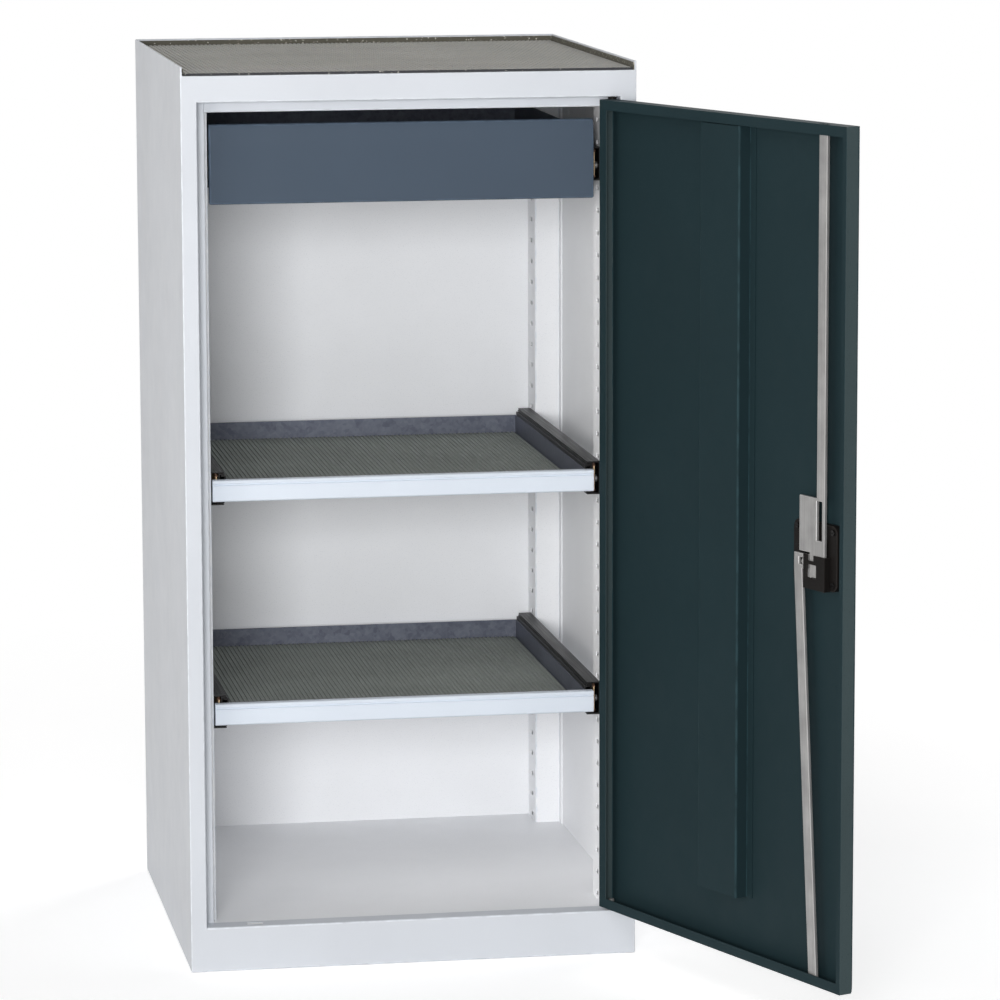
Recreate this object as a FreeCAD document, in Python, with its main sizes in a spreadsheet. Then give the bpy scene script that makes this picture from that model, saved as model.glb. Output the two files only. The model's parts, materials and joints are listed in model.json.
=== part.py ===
# Tool cabinet: a sheet-steel locker with one hinged door, a drawer and two pull-out trays.
# X runs from left to right, Y from the front to the back, Z up from the floor.
# The origin is at the middle of the base. The door is drawn shut and then swung to its open stop.

import FreeCAD, Part
import math
import os

import Sketcher

# Driving dimensions in millimetres and degrees, with what each one is.
DIMENSIONS = [
    ("cab_width", 500.0, "overall width of the carcass"),
    ("cab_depth", 500.0, "overall depth of the carcass"),
    ("cab_height", 1000.0, "overall height to the top of the rim"),
    ("sheet", 1.2, "steel of the carcass"),
    ("stile_face", 18.0, "width of the front face of a stile"),
    ("rebate_depth", 22.0, "depth of the rebate that the door shuts into"),
    ("rebate_step", 10.0, "width of the rebate's shelf on a stile"),
    ("rail_step", 12.0, "height of the rebate's shelf under the top rail"),
    ("return_depth", 12.0, "folded return behind the shelf"),
    ("rim_height", 10.0, "rim round three sides of the top"),
    ("rail_face", 29.0, "height of the front face of the top rail"),
    ("floor_height", 50.0, "top of the floor above the ground"),
    ("foot_flange", 20.0, "flange that the carcass stands on"),
    ("top_mat_gap", 1.5, "gap round the rubber mat on the top"),
    ("mat_base", 2.0, "rubber mat without its ribs"),
    ("mat_rib", 1.0, "height of a mat rib"),
    ("rib_pitch", 5.0, "distance between mat ribs"),
    ("rib_land", 2.6, "width of a mat rib"),
    ("post_inset", 32.0, "side of the carcass to the face of a post"),
    ("post_sheet", 1.5, "steel of the corner posts"),
    ("post_web", 49.0, "depth of the perforated face of a post"),
    ("post_flange", 12.0, "flange of a post on the side or the back"),
    ("slot_length", 14.0, "slot in a post, front to back"),
    ("slot_width", 5.0, "height of a slot in a post"),
    ("slot_pitch", 25.0, "distance between slots"),
    ("first_slot", 6.5, "first slot above the floor"),
    ("slot_end", 20.0, "least distance from the last slot to the top of its post"),
    ("front_setback", 30.0, "face of the drawer and trays behind the carcass front"),
    ("front_depth", 10.0, "folded depth of a drawer or tray front"),
    ("front_free_gap", 5.5, "gap from a drawer or tray front to the opening's left side"),
    ("front_hinge_gap", 13.5, "the same on the right, where the open door reaches in"),
    ("pan_sheet", 1.0, "steel of the drawer and the trays"),
    ("pan_back_gap", 16.8, "gap behind the drawer, the trays and the slides"),
    ("pan_mat_gap", 1.0, "gap between a mat and its tray"),
    ("drawer_slot_count", 3, "slots above the one that carries the drawer"),
    ("upper_tray_slot_count", 19, "slots below the one that carries the upper tray"),
    ("lower_tray_slot_count", 9, "slots below the one that carries the lower tray"),
    ("drawer_front_height", 87.0, "drawer front"),
    ("drawer_front_drop", 33.5, "bottom of the drawer front below the slot that carries it"),
    ("drawer_front_lip", 12.0, "lips behind the drawer front, welded to the drawer"),
    ("grip_height", 21.0, "leaning strip along the top of the drawer front"),
    ("grip_lean", 4.0, "how far that strip leans back"),
    ("drawer_box_height", 70.0, "sides of the drawer"),
    ("drawer_box_drop", 28.5, "bottom of the drawer below the slot that carries it"),
    ("tray_height", 24.0, "tray, which is as high as its front"),
    ("tray_drop", 10.5, "bottom of a tray below the slot that carries it"),
    ("slide_width", 17.5, "closed slide, side to side"),
    ("slide_height", 37.0, "closed slide, top to bottom"),
    ("slide_rise", 3.0, "middle of a slide above the slot that carries it"),
    ("slide_setback", 42.0, "front end of the slides behind the carcass front"),
    ("slide_sheet", 1.5, "steel of the slide members"),
    ("slide_gap", 0.5, "running gap between slide members"),
    ("slide_lap", 2.5, "outer member's flange to the side of the drawer"),
    ("slide_inner_depth", 5.9, "inner member, side to side"),
    ("screw_radius", 2.4, "slide screw"),
    ("screw_play", 0.1, "clearance of a screw in its hole"),
    ("screw_head_radius", 4.0, "head of a slide screw"),
    ("screw_head", 1.8, "thickness of a slide screw's head"),
    ("screw_end", 1.0, "slide screw beyond its nut"),
    ("nut_radius", 4.6, "nut over its corners"),
    ("nut_height", 3.2, "nut"),
    ("door_gap", 2.5, "gap beside the shut door"),
    ("door_gap_top", 3.0, "gap above the shut door"),
    ("door_gap_bottom", 4.0, "gap below the shut door"),
    ("door_depth", 18.0, "door, outer face to inner face"),
    ("door_sheet", 1.0, "steel of the door"),
    ("door_lip", 13.0, "lip along the door's hinge side"),
    ("door_free_lip", 6.5, "lip along the door's free edge"),
    ("door_end_lip", 11.0, "lips along the door's top and bottom"),
    ("door_open", 112.0, "angle of the open door"),
    ("stiffener_half", 36.5, "half the width of the door's stiffener"),
    ("stiffener_foot", 10.0, "foot flange of the stiffener"),
    ("stiffener_rise", 15.5, "stiffener above the door sheet"),
    ("stiffener_top_gap", 12.0, "top of the door to the stiffener"),
    ("stiffener_bottom_gap", 64.0, "bottom of the door to the stiffener"),
    ("pivot_inset", 8.0, "rebate's side to the hinge axis"),
    ("pivot_setback", 5.0, "carcass front to the hinge axis"),
    ("pin_radius", 3.0, "hinge pin"),
    ("pin_play", 0.05, "running clearance of pins, spindle and cylinder"),
    ("pin_reach", 7.0, "hinge pin inside the carcass sheet"),
    ("pin_tail", 4.0, "hinge pin inside the door behind its bracket"),
    ("pin_chamfer", 0.8, "chamfer on the tip of a hinge pin"),
    ("bush_wall", 0.7, "wall of a hinge bush"),
    ("bush_collar", 4.8, "radius of a bush's collar"),
    ("bush_gap", 0.3, "collar to the door"),
    ("bracket_thick", 3.0, "bracket that holds a hinge pin"),
    ("bracket_length", 20.0, "bracket along the door"),
    ("lock_inset", 65.5, "spindle to the door's free edge"),
    ("lock_height", 492.5, "spindle above the ground"),
    ("case_free", 42.5, "spindle to the case's side at the free edge"),
    ("case_hinge", 35.0, "spindle to the case's side at the hinge"),
    ("case_below", 18.0, "case below the spindle"),
    ("case_above", 51.5, "case above the spindle"),
    ("case_depth", 8.0, "lock case"),
    ("case_corner", 9.0, "corner radius of the lock case"),
    ("case_screw_inset", 7.0, "case screws from the corners of the case"),
    ("case_screw_radius", 3.2, "head of a case screw"),
    ("case_screw_head", 1.6, "thickness of a case screw's head"),
    ("case_screw_slot", 1.28, "slot in a case screw's head"),
    ("lock_gap", 0.3, "gap between the layers of the lock"),
    ("cam_radius", 17.5, "cam disc"),
    ("cam_thick", 2.0, "cam disc"),
    ("cam_throw", 13.0, "spindle to a cam pin"),
    ("cam_angle", 45.0, "cam pins from level when unlocked"),
    ("cam_pin_radius", 3.0, "cam pin"),
    ("cam_pin_play", 0.6, "clearance above and below a cam pin"),
    ("spindle_radius", 4.0, "spindle"),
    ("spindle_clear", 1.5, "hole in the door round the spindle"),
    ("rod_width", 14.0, "lock rods"),
    ("upper_rod_inset", 44.5, "middle of the upper rod to the door's free edge"),
    ("rod_thick", 3.5, "lock rods"),
    ("rod_end_gap", 0.6, "end of an unlocked rod inside the door's edge"),
    ("rod_play", 0.8, "clearance of a rod in the door's edge"),
    ("strike_play", 2.0, "clearance of a rod in the carcass"),
    ("yoke_length", 12.0, "slot for a cam pin, side to side"),
    ("yoke_wall", 4.5, "metal above and below a cam pin's slot"),
    ("tongue_wall", 3.0, "metal beside the slot in the upper rod"),
    ("yoke_shift", 1.8, "middle of a slot beyond its pin"),
    ("plate_width", 44.5, "wide plate at the foot of the upper rod"),
    ("plate_bottom", 20.0, "wide plate above the spindle"),
    ("plate_height", 58.5, "wide plate"),
    ("groove_width", 9.5, "slot along the wide plate"),
    ("groove_side", 4.5, "metal beside that slot, at the free edge"),
    ("groove_head", 3.0, "metal above that slot"),
    ("groove_foot", 14.0, "metal below that slot"),
    ("lower_plate_width", 22.5, "plate at the top of the lower rod"),
    ("lower_plate_free", 3.0, "spindle to the lower rod's plate"),
    ("lower_lean", 31.5, "how far the lower rod leans towards the free edge"),
    ("cover_free", 31.0, "spindle to the cover's wall at the free edge"),
    ("cover_hinge", 6.6, "spindle to the cover's side at the hinge"),
    ("cover_above", 18.0, "cover above the spindle"),
    ("cover_sheet", 1.5, "cover over the ends of the lock rods"),
    ("cover_notch_free", 11.2, "spindle to the free side of the notch in the cover's top"),
    ("cover_notch_width", 11.0, "notch in the cover's top"),
    ("cover_notch_depth", 6.3, "notch in the cover's top"),
    ("cover_window_free", 16.0, "spindle to the free side of the cover's window"),
    ("cover_window_width", 16.0, "window in the cover"),
    ("cover_window_above", 8.0, "top of the window above the spindle"),
    ("cover_window_height", 14.0, "window in the cover"),
    ("rosette_radius", 24.0, "plate round the handle"),
    ("rosette_thick", 4.0, "plate round the handle"),
    ("hub_radius", 14.0, "hub of the handle"),
    ("hub_depth", 16.0, "hub of the handle"),
    ("lever_length", 92.0, "spindle to the middle of the lever's tip"),
    ("lever_tip", 8.0, "tip radius of the lever"),
    ("lever_thick", 11.0, "lever"),
    ("lever_round", 2.5, "rounded edge of the lever"),
    ("cylinder_radius", 6.0, "lock cylinder"),
    ("cylinder_depth", 12.0, "lock cylinder inside the hub"),
    ("cylinder_proud", 0.8, "lock cylinder above the hub"),
    ("key_slot_width", 2.0, "key slot"),
    ("key_slot_length", 8.0, "key slot"),
    ("key_slot_depth", 6.0, "key slot"),
]

doc = FreeCAD.newDocument("ToolCabinet")
sheet_object = doc.addObject("Spreadsheet::Sheet", "dimensions")
parts = []


class Size:
    """A length that is known as a number and as an expression on the sheet."""

    def __init__(self, value, text):
        self.value = value
        self.text = text

    @staticmethod
    def of(other):
        return other if isinstance(other, Size) else Size(float(other), repr(float(other)))

    def __add__(self, other):
        other = Size.of(other)
        return Size(self.value + other.value, f"({self.text} + {other.text})")

    def __sub__(self, other):
        other = Size.of(other)
        return Size(self.value - other.value, f"({self.text} - {other.text})")

    def __mul__(self, other):
        other = Size.of(other)
        return Size(self.value * other.value, f"({self.text} * {other.text})")

    def __truediv__(self, other):
        other = Size.of(other)
        return Size(self.value / other.value, f"({self.text} / {other.text})")

    def __neg__(self):
        return Size(-self.value, f"(-1 * {self.text})")

    __radd__ = __add__
    __rmul__ = __mul__


class Dimensions:
    """The driving dimensions by name."""


dim = Dimensions()
for row, (alias, number, words) in enumerate(DIMENSIONS, start=1):
    sheet_object.set(f"A{row}", alias)
    sheet_object.set(f"B{row}", str(number))
    sheet_object.set(f"C{row}", words)
    sheet_object.setAlias(f"B{row}", alias)
    setattr(dim, alias, Size(float(number), f"dimensions.{alias}"))
doc.recompute()

ZERO = Size(0.0, "0")

# Places that several pieces share
side = dim.cab_width / 2
front = -dim.cab_depth / 2
back = dim.cab_depth / 2
deck = dim.cab_height - dim.rim_height
deck_under = deck - dim.sheet
rail_bottom = deck - dim.rail_face
rail_shelf_bottom = rail_bottom - dim.rail_step
rebate_side = side - dim.stile_face
opening_side = rebate_side - dim.rebate_step
shelf_y = front + dim.rebate_depth
return_y = shelf_y + dim.return_depth
inner_side = side - dim.sheet
inner_back = back - dim.sheet
post_face = side - dim.post_inset
pan_side = post_face - dim.slide_width
front_face_y = front + dim.front_setback
pan_front = front_face_y + dim.front_depth
pan_back = inner_back - dim.pan_back_gap
front_left = dim.front_free_gap - opening_side
front_right = opening_side - dim.front_hinge_gap
slide_front = front + dim.slide_setback
slide_length = pan_back - slide_front
door_side = rebate_side - dim.door_gap
door_top = rail_bottom - dim.door_gap_top
door_bottom = dim.floor_height + dim.door_gap_bottom
door_inside = front + dim.door_sheet
pivot_x = rebate_side - dim.pivot_inset
pivot_y = front + dim.pivot_setback
lock_x = dim.lock_inset - door_side
lock_z = dim.lock_height
upper_rod_x = dim.upper_rod_inset - door_side
case_face = door_inside + dim.case_depth
cam_back = case_face + dim.lock_gap
cam_face = cam_back + dim.cam_thick
rod_back = cam_face + dim.lock_gap
rod_face = rod_back + dim.rod_thick
front_post_y = return_y
front_slot_y = front_post_y + dim.post_web / 2
rear_post_y = inner_back - dim.post_web
rear_slot_y = rear_post_y + dim.post_web / 2

AXES = {
    "X": FreeCAD.Rotation(FreeCAD.Vector(0, 1, 0), 90),
    "Y": FreeCAD.Rotation(FreeCAD.Vector(1, 0, 0), -90),
    "Z": FreeCAD.Rotation(),
}


def whole(size):
    """A size rounded down to a whole number."""
    return Size(float(math.floor(size.value)), f"floor({size.text})")


def slot_z(number):
    """Height of a slot in the posts, counted from 0."""
    return dim.floor_height + dim.first_slot + dim.slot_pitch * number


last_slot = whole((deck_under - dim.slot_end - slot_z(0)) / dim.slot_pitch)


def bind(thing, **sizes):
    """Ties properties of an object to the sheet."""
    for name, size in sizes.items():
        thing.setExpression(name, size.text)


def place(thing, x, y, z):
    """Ties an object's position to the sheet."""
    for letter, size in (("x", x), ("y", y), ("z", z)):
        thing.setExpression(f"Placement.Base.{letter}", Size.of(size).text)


def box(x0, x1, y0, y1, z0, z1):
    """A block between two corners."""
    block = doc.addObject("Part::Box", "block")
    bind(block, Length=x1 - x0, Width=y1 - y0, Height=z1 - z0)
    place(block, x0, y0, z0)
    return block


def rod(axis, radius, length, x, y, z):
    """A cylinder that starts at a point and runs along an axis."""
    cylinder = doc.addObject("Part::Cylinder", "cylinder")
    bind(cylinder, Radius=radius, Height=length)
    cylinder.Placement.Rotation = AXES[axis]
    place(cylinder, x, y, z)
    return cylinder


def fuse(pieces, name="fused"):
    fused = doc.addObject("Part::MultiFuse", name)
    fused.Shapes = pieces
    fused.Refine = True
    return fused


def cut(base, tools, name="cut"):
    result = doc.addObject("Part::Cut", name)
    result.Base = base
    result.Tool = tools[0] if len(tools) == 1 else fuse(tools)
    result.Refine = True
    return result


def group(pieces, name="group"):
    compound = doc.addObject("Part::Compound", name)
    compound.Links = pieces
    return compound


def keep(label, thing):
    """Names a finished piece, which is then written to its own file."""
    thing.Label = label
    parts.append(thing)
    return thing


def sided(hand, near, far):
    """The two X values of a span on the right (hand 1) or, mirrored, on the left (hand -1)."""
    return (near, far) if hand > 0 else (-far, -near)


def polygon(sketch, corners):
    """Draws a closed outline whose corners are tied to the sheet."""
    count = len(corners)
    for at in range(count):
        here = corners[at]
        there = corners[(at + 1) % count]
        start = FreeCAD.Vector(here[0].value, here[1].value, 0)
        end = FreeCAD.Vector(there[0].value, there[1].value, 0)
        sketch.addGeometry(Part.LineSegment(start, end), False)
    for at in range(count):
        sketch.addConstraint(Sketcher.Constraint("Coincident", at, 2, (at + 1) % count, 1))
    for at, corner in enumerate(corners):
        for kind, size in (("DistanceX", corner[0]), ("DistanceY", corner[1])):
            index = sketch.addConstraint(Sketcher.Constraint(kind, -1, 1, at, 1, size.value))
            sketch.setExpression(f"Constraints[{index}]", size.text)


def sketch_on(body, plane, start):
    """A sketch on one of the body's planes, moved along that plane's axis to start."""
    sketch = body.newObject("Sketcher::SketchObject", "outline")
    origin_plane = [one for one in body.Origin.OriginFeatures if one.Role == f"{plane}_Plane"]
    sketch.AttachmentSupport = [(origin_plane[0], "")]
    sketch.MapMode = "FlatFace"
    along = -start if plane == "XZ" else start
    sketch.setExpression("AttachmentOffset.Base.z", along.text)
    return sketch


def padded(plane, corners, start, length):
    """A body made from an outline that runs along the plane's axis from start."""
    body = doc.addObject("PartDesign::Body", "body")
    outline = sketch_on(body, plane, start)
    polygon(outline, corners)
    pad = body.newObject("PartDesign::Pad", "pad")
    pad.Profile = outline
    pad.Reversed = plane == "XZ"
    bind(pad, Length=length)
    return body


def pocket(body, plane, corners, start, length):
    """Cuts an outline out of a body along the plane's axis from start."""
    outline = sketch_on(body, plane, start)
    polygon(outline, corners)
    feature = body.newObject("PartDesign::Pocket", "pocket")
    feature.Profile = outline
    feature.Reversed = plane != "XZ"
    bind(feature, Length=length)
    return feature


def rectangle(u0, u1, v0, v1):
    return [(u0, v0), (u1, v0), (u1, v1), (u0, v1)]


def turned(profile, x, y):
    """A body of revolution about an upright axis; the profile is a list of radius and height."""
    body = doc.addObject("PartDesign::Body", "turned")
    outline = sketch_on(body, "XZ", ZERO)
    polygon(outline, profile)
    turn = body.newObject("PartDesign::Revolution", "turn")
    turn.Profile = outline
    turn.ReferenceAxis = (outline, ["V_Axis"])
    turn.Angle = 360
    place(body, x, y, ZERO)
    return body


def ribbed_mat(label, x_half, y0, y1, z0):
    """A rubber mat with ribs from front to back."""
    width = 2 * x_half.value
    pitch = dim.rib_pitch.value
    count = int((width - dim.rib_land.value) / pitch)
    margin = (width - count * pitch - dim.rib_land.value) / 2
    low = z0.value + dim.mat_base.value
    high = low + dim.mat_rib.value
    outline = [(-x_half.value, z0.value), (-x_half.value, low)]
    for number in range(count + 1):
        start = -x_half.value + margin + number * pitch
        end = start + dim.rib_land.value
        outline += [(start, low), (start, high), (end, high), (end, low)]
    outline += [(x_half.value, low), (x_half.value, z0.value)]
    points = [FreeCAD.Vector(x, y0.value, z) for x, z in outline]
    face = Part.Face(Part.makePolygon(points + points[:1]))
    mat = doc.addObject("Part::Feature", "mat")
    mat.Shape = face.extrude(FreeCAD.Vector(0, y1.value - y0.value, 0))
    return keep(label, mat)


def side_panel(label, hand):
    """The side skin with its front stile, rebate and rim, folded from one sheet."""
    plates = [
        (side - dim.sheet, side, front, back, ZERO, dim.cab_height),
        (rebate_side, side, front, front + dim.sheet, ZERO, deck),
        (rebate_side, rebate_side + dim.sheet, front, shelf_y + dim.sheet, ZERO, deck_under),
        (opening_side, rebate_side + dim.sheet, shelf_y, shelf_y + dim.sheet, ZERO, deck_under),
        (opening_side, opening_side + dim.sheet, shelf_y, return_y, ZERO, deck_under),
        (side - dim.sheet * 2, side, front, inner_back - dim.sheet, deck, dim.cab_height),
        (side - dim.foot_flange, side, return_y, inner_back, ZERO, dim.sheet),
    ]
    pieces = []
    for near, far, y0, y1, z0, z1 in plates:
        x0, x1 = sided(hand, near, far)
        pieces.append(box(x0, x1, y0, y1, z0, z1))
    keep(label, fuse(pieces))


def back_panel():
    skin = box(-inner_side, inner_side, inner_back, back, ZERO, dim.cab_height)
    rim = box(-inner_side, inner_side, inner_back - dim.sheet, inner_back, deck, dim.cab_height)
    foot_y = inner_back - dim.foot_flange
    foot_x = side - dim.foot_flange
    foot = box(-foot_x, foot_x, foot_y, inner_back, ZERO, dim.sheet)
    keep("back_panel", fuse([skin, rim, foot]))


def top_panel():
    """The deck with the front rail and its rebate folded from its front edge."""
    deck_sheet = box(-inner_side, inner_side, front + dim.sheet, inner_back, deck_under, deck)
    face = box(-rebate_side, rebate_side, front, front + dim.sheet, rail_bottom, deck)
    soffit = box(-rebate_side, rebate_side, front, shelf_y, rail_bottom, rail_bottom + dim.sheet)
    shelf_top = rail_bottom + dim.sheet
    shelf = box(-opening_side, opening_side, shelf_y, shelf_y + dim.sheet, rail_shelf_bottom, shelf_top)
    fold_top = rail_shelf_bottom + dim.sheet
    fold = box(-opening_side, opening_side, shelf_y, return_y, rail_shelf_bottom, fold_top)
    rail = fuse([deck_sheet, face, soffit, shelf, fold])
    bush_hole = rod("Z", dim.pin_radius + dim.pin_play + dim.bush_wall, dim.sheet * 3,
                    pivot_x, pivot_y, rail_bottom - dim.sheet)
    strike = strike_hole(upper_rod_x, rail_bottom - dim.sheet)
    keep("top_panel", cut(rail, [bush_hole, strike]))


def floor_panel():
    """The floor with the plinth folded down from its front edge."""
    top = dim.floor_height
    under = top - dim.sheet
    sill = box(-rebate_side, rebate_side, front, shelf_y, under, top)
    neck = box(-opening_side, opening_side, shelf_y, return_y, under, top)
    floor = box(-inner_side, inner_side, return_y, inner_back, under, top)
    plinth = box(-rebate_side, rebate_side, front, front + dim.sheet, ZERO, top)
    foot = box(-rebate_side, rebate_side, front, front + dim.foot_flange, ZERO, dim.sheet)
    pan = fuse([sill, neck, floor, plinth, foot])
    bush_hole = rod("Z", dim.pin_radius + dim.pin_play + dim.bush_wall, dim.sheet * 3,
                    pivot_x, pivot_y, under - dim.sheet)
    strike = strike_hole(lower_rod_x(under), under - dim.sheet)
    keep("floor_panel", cut(pan, [bush_hole, strike]))


def strike_hole(x, z):
    """The hole in the carcass that a lock rod shoots into."""
    half = dim.rod_width / 2 + dim.strike_play
    return box(x - half, x + half, rod_back - dim.strike_play, rod_face + dim.strike_play, z, z + dim.sheet * 3)


def post(label, hand, corners, slot_y):
    """A folded corner post with a row of slots at an even pitch."""
    outline = [(x if hand > 0 else -x, y) for x, y in corners]
    body = padded("XY", outline, dim.floor_height, deck_under - dim.floor_height)
    x0, x1 = sided(hand, post_face - dim.post_sheet, post_face + dim.post_sheet * 2)
    half_length = dim.slot_length / 2
    middle = slot_z(0)
    corners = rectangle(slot_y - half_length, slot_y + half_length,
                        middle - dim.slot_width / 2, middle + dim.slot_width / 2)
    first = pocket(body, "YZ", corners, x0, x1 - x0)
    pattern = body.newObject("PartDesign::LinearPattern", "slots")
    pattern.Originals = [first]
    upright = [one for one in body.Origin.OriginFeatures if one.Role == "Z_Axis"]
    pattern.Direction = (upright[0], [""])
    bind(pattern, Length=dim.slot_pitch * last_slot, Occurrences=last_slot + 1)
    body.Tip = pattern
    keep(label, body)


def front_post(label, hand):
    face = post_face
    inner = face + dim.post_sheet
    y0 = front_post_y
    y1 = y0 + dim.post_web
    lip = opening_side + dim.sheet
    post(label, hand, [
        (face, y0), (lip, y0), (lip, y0 + dim.post_sheet), (inner, y0 + dim.post_sheet),
        (inner, y1 - dim.post_sheet), (inner_side, y1 - dim.post_sheet),
        (inner_side, y1 + dim.post_flange), (inner_side - dim.post_sheet, y1 + dim.post_flange),
        (inner_side - dim.post_sheet, y1), (face, y1),
    ], front_slot_y)


def rear_post(label, hand):
    face = post_face
    inner = face + dim.post_sheet
    y0 = rear_post_y
    y1 = inner_back
    foot = inner + dim.post_flange
    post(label, hand, [
        (face, y0), (inner_side - dim.post_sheet, y0),
        (inner_side - dim.post_sheet, y0 - dim.post_flange), (inner_side, y0 - dim.post_flange),
        (inner_side, y0 + dim.post_sheet), (inner, y0 + dim.post_sheet),
        (inner, y1 - dim.post_sheet), (foot, y1 - dim.post_sheet), (foot, y1), (face, y1),
    ], rear_slot_y)


def channel(hand, back_x, tip_x, z, half_height):
    """A slide member: a channel with its back at one X and its flange tips at another."""
    step = dim.slide_sheet if tip_x.value > back_x.value else -dim.slide_sheet
    web_x = back_x + step
    thick = dim.slide_sheet
    outline = [
        (back_x, z - half_height), (tip_x, z - half_height), (tip_x, z - half_height + thick),
        (web_x, z - half_height + thick), (web_x, z + half_height - thick),
        (tip_x, z + half_height - thick), (tip_x, z + half_height), (back_x, z + half_height),
    ]
    mirrored = [(x if hand > 0 else -x, height) for x, height in outline]
    return padded("XZ", mirrored, slide_front, slide_length)


def slides(level, z):
    """The telescopic slides of one level: an outer, a middle and an inner member on each side."""
    middle_z = z + dim.slide_rise
    outer_half = dim.slide_height / 2
    middle_half = outer_half - dim.slide_sheet - dim.slide_gap
    inner_half = middle_half - dim.slide_sheet - dim.slide_gap
    outer_tip = pan_side + dim.slide_lap
    middle_tip = outer_tip - dim.slide_gap
    inner_tip = pan_side + dim.slide_inner_depth
    middle_back = inner_tip + dim.slide_gap * 2 + dim.slide_sheet
    for hand, name in ((-1, "left"), (1, "right")):
        outer = channel(hand, post_face, outer_tip, middle_z, outer_half)
        x0, x1 = sided(hand, post_face - dim.slide_sheet * 2, post_face + dim.slide_sheet)
        hole = dim.screw_radius + dim.screw_play
        for screw_y in (front_slot_y, rear_slot_y):
            corners = rectangle(screw_y - hole, screw_y + hole, z - hole, z + hole)
            pocket(outer, "YZ", corners, x0, x1 - x0)
        keep(f"{level}_slide_outer_{name}", outer)
        keep(f"{level}_slide_middle_{name}", channel(hand, middle_back, middle_tip, middle_z, middle_half))
        keep(f"{level}_slide_inner_{name}", channel(hand, pan_side, inner_tip, middle_z, inner_half))


def slide_fasteners(heights):
    """Screws and nuts that hold the outer slide members to the posts."""
    screws = []
    nuts = []
    nut_start = post_face + dim.post_sheet
    length = dim.slide_sheet + dim.post_sheet + dim.nut_height + dim.screw_end
    web = post_face - dim.slide_sheet
    for z in heights:
        for hand in (-1, 1):
            for y in (front_slot_y, rear_slot_y):
                head_x, _ = sided(hand, web - dim.screw_head, web)
                shank_x, _ = sided(hand, web, web + length)
                nut_x, _ = sided(hand, nut_start, nut_start + dim.nut_height)
                head = rod("X", dim.screw_head_radius, dim.screw_head, head_x, y, z)
                shank = rod("X", dim.screw_radius, length, shank_x, y, z)
                screws.append(fuse([head, shank]))
                nut = doc.addObject("Part::Prism", "nut")
                nut.Polygon = 6
                bind(nut, Circumradius=dim.nut_radius, Height=dim.nut_height)
                nut.Placement.Rotation = AXES["X"]
                place(nut, nut_x, y, z)
                bore = rod("X", dim.screw_radius, dim.nut_height, nut_x, y, z)
                nuts.append(cut(nut, [bore]))
    keep("slide_screws", group(screws))
    keep("slide_nuts", group(nuts))


def pan(label, z0, height):
    """An open box folded from one sheet."""
    wall = dim.pan_sheet
    block = box(-pan_side, pan_side, pan_front, pan_back, z0, z0 + height)
    inside = box(-(pan_side - wall), pan_side - wall, pan_front + wall, pan_back - wall, z0 + wall, z0 + height + wall)
    keep(label, cut(block, [inside]))


def tray(level, z):
    """A shallow pull-out tray: pan, folded front and ribbed mat."""
    bottom = z - dim.tray_drop
    wall = dim.pan_sheet
    pan(f"{level}_pan", bottom, dim.tray_height)
    block = box(front_left, front_right, front_face_y, pan_front, bottom, bottom + dim.tray_height)
    inside = box(front_left + wall, front_right - wall, front_face_y + wall, pan_front + wall,
                 bottom + wall, bottom + dim.tray_height - wall)
    keep(f"{level}_front", cut(block, [inside]))
    edge = wall + dim.pan_mat_gap
    ribbed_mat(f"{level}_mat", pan_side - edge, pan_front + edge, pan_back - edge, bottom + wall)


def drawer(z):
    """The drawer box and its lipped front, whose upper strip leans back as a grip."""
    pan("drawer_box", z - dim.drawer_box_drop, dim.drawer_box_height)
    wall = dim.pan_sheet
    bottom = z - dim.drawer_front_drop
    top = bottom + dim.drawer_front_height
    crease = top - dim.grip_height
    lean_y = front_face_y + dim.grip_lean
    outer = [(front_face_y, bottom), (pan_front, bottom), (pan_front, top), (lean_y, top), (front_face_y, crease)]
    face = padded("YZ", outer, front_left, front_right - front_left)
    inner = [
        (front_face_y + wall, bottom + wall), (pan_front - wall, bottom + wall), (pan_front - wall, top - wall),
        (lean_y + wall, top - wall), (front_face_y + wall, crease),
    ]
    width = front_right - front_left
    pocket(face, "YZ", inner, front_left + wall, width - wall * 2)
    lip = dim.drawer_front_lip
    mouth = rectangle(pan_front - wall * 2, pan_front + wall, bottom + lip, top - lip)
    pocket(face, "YZ", mouth, front_left + lip, width - lip * 2)
    keep("drawer_front", face)


def on_door(label, thing):
    """Keeps a piece that is drawn on the shut door and swings it to the open stop."""
    centre = FreeCAD.Vector(pivot_x.value, pivot_y.value, 0)
    turn = FreeCAD.Rotation(FreeCAD.Vector(0, 0, 1), dim.door_open.value)
    swing = FreeCAD.Placement(FreeCAD.Vector(0, 0, 0), turn, centre)
    thing.Placement = swing.multiply(thing.Placement)
    return keep(label, thing)


def door_panel():
    """The door: a pan with lips folded inwards all round."""
    wall = dim.door_sheet
    inner_face = front + dim.door_depth
    block = box(-door_side, door_side, front, inner_face, door_bottom, door_top)
    inside = box(-(door_side - wall), door_side - wall, door_inside, inner_face - wall,
                 door_bottom + wall, door_top - wall)
    mouth = box(dim.door_free_lip - door_side, door_side - dim.door_lip, inner_face - wall * 2, inner_face + wall,
                door_bottom + dim.door_end_lip, door_top - dim.door_end_lip)
    lock_hole = rod("Y", dim.spindle_radius + dim.spindle_clear, wall * 3, lock_x, front - wall, lock_z)
    edge = wall * 3
    upper_pin = rod("Z", dim.pin_radius, edge, pivot_x, pivot_y, door_top - wall * 2)
    lower_pin = rod("Z", dim.pin_radius, edge, pivot_x, pivot_y, door_bottom - wall)
    upper_rod = rod_hole(upper_rod_x, door_top - wall * 2)
    lower_rod = rod_hole(lower_rod_x(door_bottom), door_bottom - wall)
    tools = [inside, mouth, lock_hole, upper_pin, lower_pin, upper_rod, lower_rod]
    on_door("door_panel", cut(block, tools))


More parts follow.
